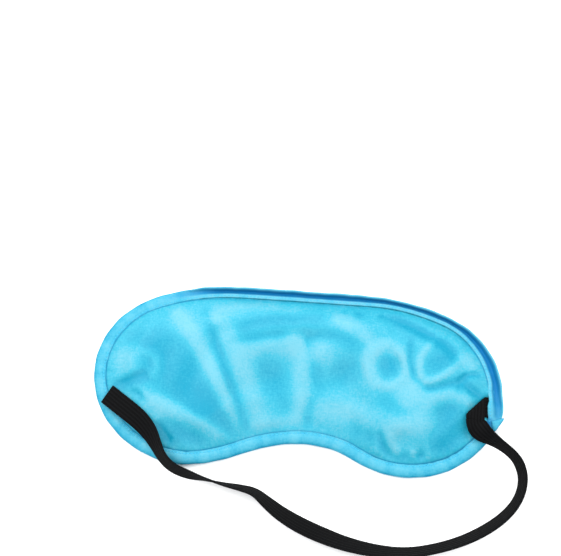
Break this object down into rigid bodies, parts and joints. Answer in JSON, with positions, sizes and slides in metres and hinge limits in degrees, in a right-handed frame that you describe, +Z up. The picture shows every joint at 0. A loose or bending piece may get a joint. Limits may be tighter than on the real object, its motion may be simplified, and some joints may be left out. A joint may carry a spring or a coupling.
{
  "type": "sleep mask",
  "caption": "Padded satin sleep mask with a bound edge and nose notch, lying back face up, with a flat elastic head strap sewn to both ends and hanging loose in front.",
  "frame": {"origin": "under the middle of the mask's own box, strap left out, on the surface that the mask lies on", "axes": "+X across the face along the mask's length, +Y towards the straight brow edge, away from the nose notch, +Z up, from the front face towards the back face that touches the eyes"},
  "size_m": [0.2113, 0.1277, 0.0133],
  "materials": {
    "satin_front": "glossy satin weave",
    "satin_back": "glossy satin weave, softly wrinkled",
    "satin_binding": "folded satin bias tape",
    "wadding": "matt foam",
    "thread": "polyester sewing thread",
    "elastic": "matt ribbed braided elastic"
  },
  "bodies": {
    "mask": {"front_panel": "satin_front", "padding_core": "wadding", "back_panel": "satin_back", "edge_binding": "satin_binding", "binding_end_flap": "satin_binding", "seam_thread_back": "thread", "seam_thread_front": "thread", "strap_end_left": "elastic", "strap_end_right": "elastic"},
    "strap": {"elastic_strap": "elastic"}
  },
  "joints": [
    {"name": "strap_swing", "type": "hinge", "parent": "mask", "child": "strap", "pos_m": [0, -0.009, 0.009], "axis": [-1, 0, 0], "range_deg": [0, 135]}
  ]
}
